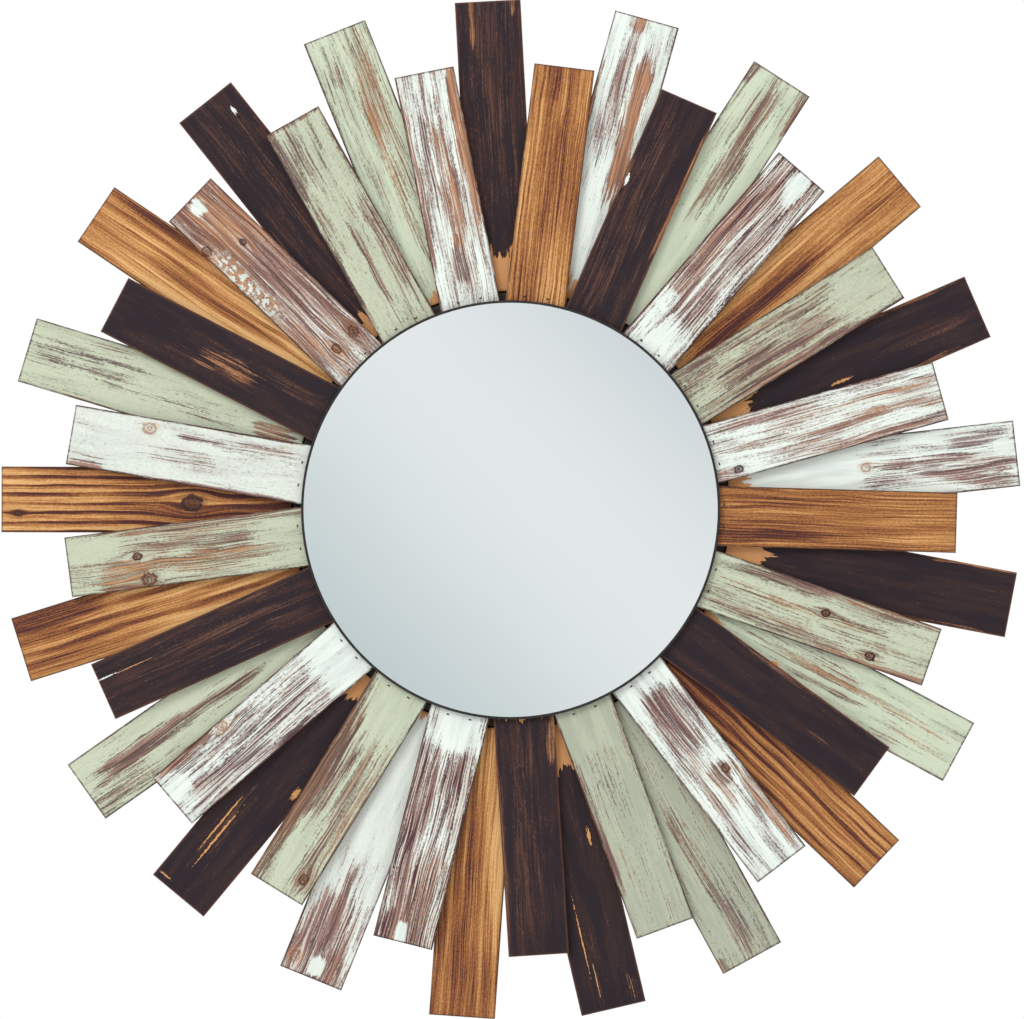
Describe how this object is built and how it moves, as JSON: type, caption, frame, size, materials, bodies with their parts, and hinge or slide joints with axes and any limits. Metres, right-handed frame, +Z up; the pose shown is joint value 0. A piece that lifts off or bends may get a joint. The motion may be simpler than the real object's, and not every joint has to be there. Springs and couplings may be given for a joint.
{
  "type": "wall mirror",
  "caption": "Round sunburst wall mirror: glass in a thin black hoop on two overlapping rings of worn painted planks.",
  "frame": {"origin": "the mirror's centre on the wall plane, behind the middle of the glass", "axes": "+Z up as it hangs; the glass faces -Y, and +Y points into the wall; +X to the viewer's right"},
  "size_m": [0.8004, 0.0336, 0.801],
  "materials": {
    "white_paint": "distressed white paint over brown pine",
    "mint_paint": "distressed grey-green paint over brown pine",
    "espresso_stain": "near-black paint, rubbed through to brown",
    "torched_pine": "bare pine, golden with scorched grain",
    "black_fibreboard": "fibreboard painted matt black",
    "silvered_glass": "clear silvered glass",
    "black_metal": "satin black",
    "foam_tape": "white foam tape",
    "dark_steel": "dull dark steel",
    "zinc_steel": "zinc plate",
    "clear_rubber": "soft matt rubber"
  },
  "bodies": {
    "frame": {"backing_board": "black_fibreboard", "disc_screws": "zinc_steel", "hanger_screws": "zinc_steel", "hanger_strap_left": "zinc_steel", "hanger_strap_right": "zinc_steel", "long_plank_01": "espresso_stain", "long_plank_02": "white_paint", "long_plank_03": "mint_paint", "long_plank_04": "torched_pine", "long_plank_05": "espresso_stain", "long_plank_06": "white_paint", "long_plank_07": "espresso_stain", "long_plank_08": "mint_paint", "long_plank_09": "torched_pine", "long_plank_10": "mint_paint", "long_plank_11": "espresso_stain", "long_plank_12": "torched_pine", "long_plank_13": "white_paint", "long_plank_14": "espresso_stain", "long_plank_15": "mint_paint", "long_plank_16": "torched_pine", "long_plank_17": "torched_pine", "long_plank_18": "mint_paint", "long_plank_19": "torched_pine", "long_plank_20": "espresso_stain", "long_plank_21": "mint_paint", "lower_filler_disc": "black_fibreboard", "mirror_glass": "silvered_glass", "mirror_rim": "black_metal", "mirror_tape": "foam_tape", "plank_brads": "dark_steel", "plank_screws": "zinc_steel", "short_plank_01": "white_paint", "short_plank_02": "torched_pine", "short_plank_03": "espresso_stain", "short_plank_04": "white_paint", "short_plank_05": "mint_paint", "short_plank_06": "white_paint", "short_plank_07": "torched_pine", "short_plank_08": "mint_paint", "short_plank_09": "espresso_stain", "short_plank_10": "white_paint", "short_plank_11": "mint_paint", "short_plank_12": "espresso_stain", "short_plank_13": "white_paint", "short_plank_14": "mint_paint", "short_plank_15": "white_paint", "short_plank_16": "espresso_stain", "short_plank_17": "mint_paint", "short_plank_18": "white_paint", "short_plank_19": "espresso_stain", "short_plank_20": "white_paint", "short_plank_21": "mint_paint", "upper_filler_disc": "black_fibreboard", "wall_bumpers": "clear_rubber"},
    "ring_left": {"hanger_ring_left": "zinc_steel"},
    "ring_right": {"hanger_ring_right": "zinc_steel"}
  },
  "joints": [
    {"name": "ring_left_swing", "type": "hinge", "parent": "frame", "child": "ring_left", "pos_m": [-0.12, -0.00345, 0.15], "axis": [1, 0, 0], "range_deg": [0, 175]},
    {"name": "ring_right_swing", "type": "hinge", "parent": "frame", "child": "ring_right", "pos_m": [0.12, -0.00345, 0.15], "axis": [1, 0, 0], "range_deg": [0, 175]}
  ]
}
